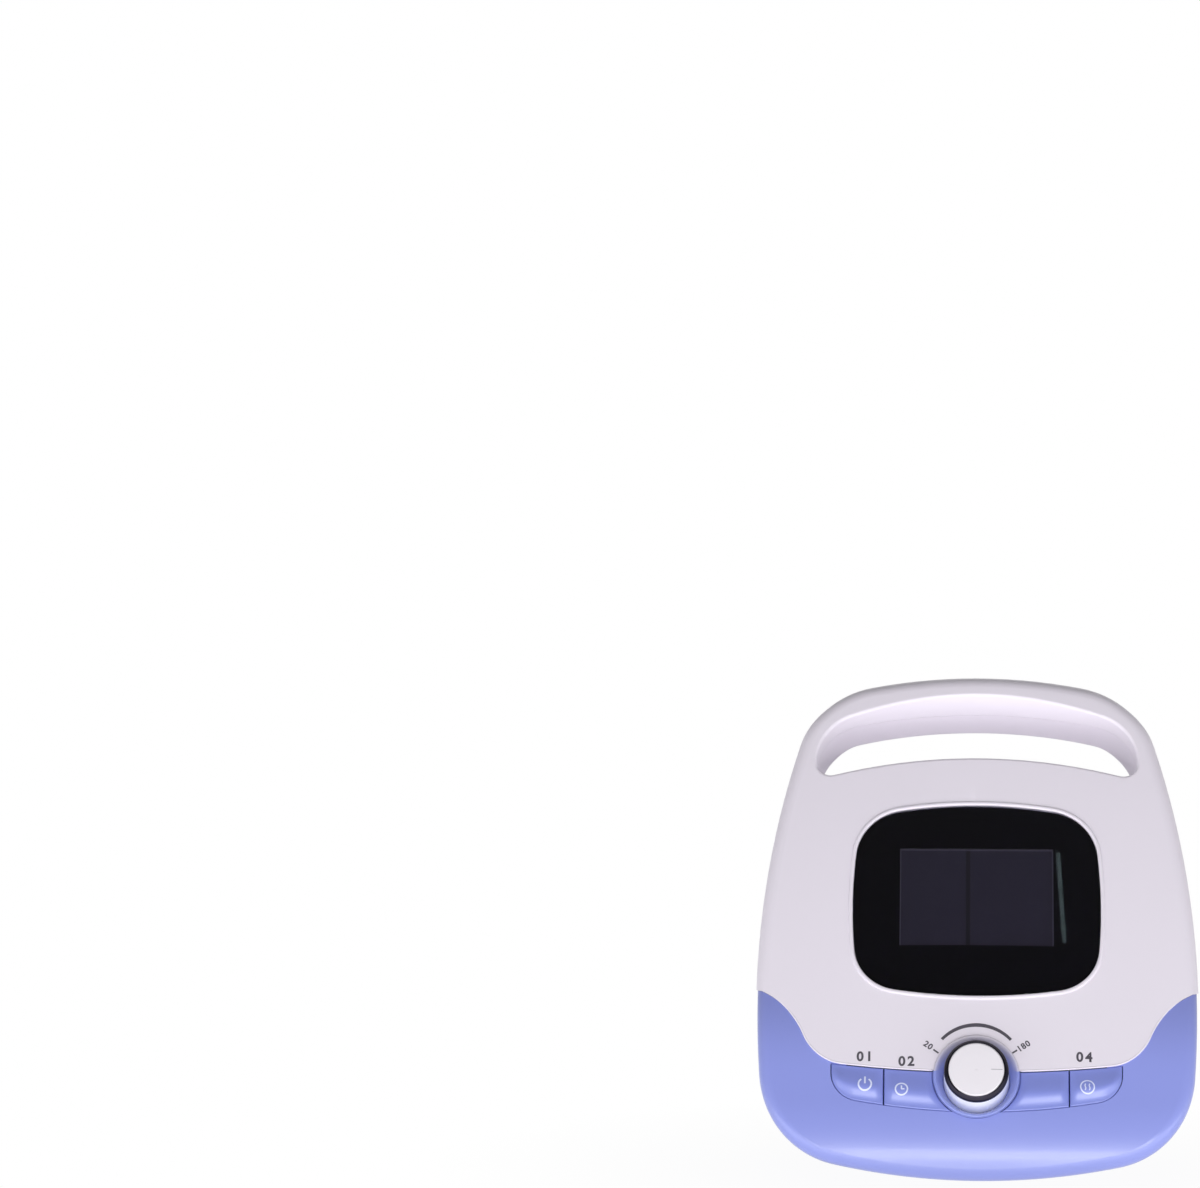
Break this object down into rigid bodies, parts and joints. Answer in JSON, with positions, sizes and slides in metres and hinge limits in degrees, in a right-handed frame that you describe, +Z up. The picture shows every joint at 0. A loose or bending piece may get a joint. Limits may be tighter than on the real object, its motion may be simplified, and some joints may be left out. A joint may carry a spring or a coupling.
{
  "type": "compression therapy pump",
  "caption": "Console of an air-compression leg therapy set: two-colour case with a hand hole, window, turning knob, travelling keys, diaphragm pump, valves and rear hose nozzles.",
  "frame": {"origin": "centre of the footprint of the whole part, on the surface it stands on", "axes": "+Z up, -Y towards the user and the leaning front, +X to the user's right"},
  "size_m": [0.2366, 0.1714, 0.2632],
  "materials": {
    "base_tub": "satin moulded plastic, periwinkle blue",
    "front_housing": "satin moulded plastic, cool white",
    "rear_housing": "satin moulded plastic, cool white",
    "window_lens": "smoked glossy window",
    "lens_mask": "black printed film",
    "display_panel": "dark display panel",
    "display_frame": "black moulded frame",
    "display_board": "green circuit board",
    "buzzer": "black",
    "knob_collar": "glossy blue",
    "knob_body": "white",
    "knob_ring": "dark plated",
    "knob_cap": "white",
    "knob_shaft": "turned",
    "potentiometer": "plain",
    "shaft_nut": "plain",
    "key_board": "green circuit board",
    "key_switches": "black",
    "pump_frame": "die-cast",
    "pump_head_left": "black glass-filled plastic",
    "pump_head_right": "black glass-filled plastic",
    "head_screws": "plain",
    "pump_diaphragms": "black rubber",
    "pump_armature": "plain",
    "pump_cores": "laminated steel",
    "pump_coils": "enamelled winding",
    "pump_mounts": "black rubber",
    "valve_block": "light grey",
    "valve_coils": "plated cans",
    "pump_tubes": "clear silicone",
    "outlet_tubes": "clear silicone",
    "outlet_sockets": "blue",
    "mains_inlet": "black",
    "inlet_pins": "plain",
    "power_board": "green circuit board",
    "power_parts": "dark parts",
    "main_board": "green circuit board",
    "ribbon_cables": "grey flat cable",
    "intake_filter": "open foam",
    "filter_cover": "blue",
    "rubber_feet": "dark grey rubber",
    "case_screws": "plain",
    "board_screws": "plain",
    "power_button": "satin blue key",
    "power_plunger": "light grey",
    "timer_button": "satin blue key",
    "timer_plunger": "light grey",
    "mode_button": "satin blue key",
    "mode_plunger": "light grey",
    "heat_button": "satin blue key",
    "heat_plunger": "light grey",
    "foot_valve_plunger": "plain",
    "calf_valve_plunger": "plain",
    "knee_valve_plunger": "plain",
    "thigh_valve_plunger": "plain",
    "valve_springs": "spring wire"
  },
  "bodies": {
    "console": {"base_tub": "base_tub", "front_housing": "front_housing", "rear_housing": "rear_housing", "window_lens": "window_lens", "lens_mask": "lens_mask", "display_panel": "display_panel", "display_frame": "display_frame", "display_board": "display_board", "buzzer": "buzzer", "knob_collar": "knob_collar", "potentiometer": "potentiometer", "shaft_nut": "shaft_nut", "key_board": "key_board", "key_switches": "key_switches", "pump_frame": "pump_frame", "pump_head_left": "pump_head_left", "pump_head_right": "pump_head_right", "head_screws": "head_screws", "pump_diaphragms": "pump_diaphragms", "pump_cores": "pump_cores", "pump_coils": "pump_coils", "pump_mounts": "pump_mounts", "valve_block": "valve_block", "valve_coils": "valve_coils", "pump_tubes": "pump_tubes", "outlet_tubes": "outlet_tubes", "outlet_sockets": "outlet_sockets", "mains_inlet": "mains_inlet", "inlet_pins": "inlet_pins", "power_board": "power_board", "power_parts": "power_parts", "main_board": "main_board", "ribbon_cables": "ribbon_cables", "intake_filter": "intake_filter", "filter_cover": "filter_cover", "rubber_feet": "rubber_feet", "case_screws": "case_screws", "board_screws": "board_screws", "valve_springs": "valve_springs"},
    "power_button": {"power_button": "power_button", "power_plunger": "power_plunger"},
    "timer_button": {"timer_button": "timer_button", "timer_plunger": "timer_plunger"},
    "mode_button": {"mode_button": "mode_button", "mode_plunger": "mode_plunger"},
    "heat_button": {"heat_button": "heat_button", "heat_plunger": "heat_plunger"},
    "knob": {"knob_body": "knob_body", "knob_ring": "knob_ring", "knob_cap": "knob_cap", "knob_shaft": "knob_shaft"},
    "pump_armature": {"pump_armature": "pump_armature"},
    "foot_valve": {"foot_valve_plunger": "foot_valve_plunger"},
    "calf_valve": {"calf_valve_plunger": "calf_valve_plunger"},
    "knee_valve": {"knee_valve_plunger": "knee_valve_plunger"},
    "thigh_valve": {"thigh_valve_plunger": "thigh_valve_plunger"}
  },
  "joints": [
    {"name": "power_button", "type": "slide", "parent": "console", "child": "power_button", "axis": [0, 0.9042, -0.4272], "range_m": [0, 0.0012], "stiffness_N_per_m": 1500},
    {"name": "timer_button", "type": "slide", "parent": "console", "child": "timer_button", "axis": [0, 0.9042, -0.4272], "range_m": [0, 0.0012], "stiffness_N_per_m": 1500},
    {"name": "mode_button", "type": "slide", "parent": "console", "child": "mode_button", "axis": [0, 0.9042, -0.4272], "range_m": [0, 0.0012], "stiffness_N_per_m": 1500},
    {"name": "heat_button", "type": "slide", "parent": "console", "child": "heat_button", "axis": [0, 0.9042, -0.4272], "range_m": [0, 0.0012], "stiffness_N_per_m": 1500},
    {"name": "knob", "type": "hinge", "parent": "console", "child": "knob", "pos_m": [0, -0.06894, 0.0565], "axis": [0, 0.9042, -0.4272], "range_deg": [-240, 60]},
    {"name": "pump_armature", "type": "slide", "parent": "console", "child": "pump_armature", "axis": [1, 0, 0], "range_m": [-0.0015, 0.0015], "stiffness_N_per_m": 4000, "deforming": ["pump_diaphragms"]},
    {"name": "foot_valve", "type": "slide", "parent": "console", "child": "foot_valve", "axis": [0, 0, 1], "range_m": [0, 0.0015], "stiffness_N_per_m": 300, "springref_m": -0.001, "deforming": ["valve_springs"]},
    {"name": "calf_valve", "type": "slide", "parent": "console", "child": "calf_valve", "axis": [0, 0, 1], "range_m": [0, 0.0015], "stiffness_N_per_m": 300, "springref_m": -0.001, "deforming": ["valve_springs"]},
    {"name": "knee_valve", "type": "slide", "parent": "console", "child": "knee_valve", "axis": [0, 0, 1], "range_m": [0, 0.0015], "stiffness_N_per_m": 300, "springref_m": -0.001, "deforming": ["valve_springs"]},
    {"name": "thigh_valve", "type": "slide", "parent": "console", "child": "thigh_valve", "axis": [0, 0, 1], "range_m": [0, 0.0015], "stiffness_N_per_m": 300, "springref_m": -0.001, "deforming": ["valve_springs"]}
  ]
}
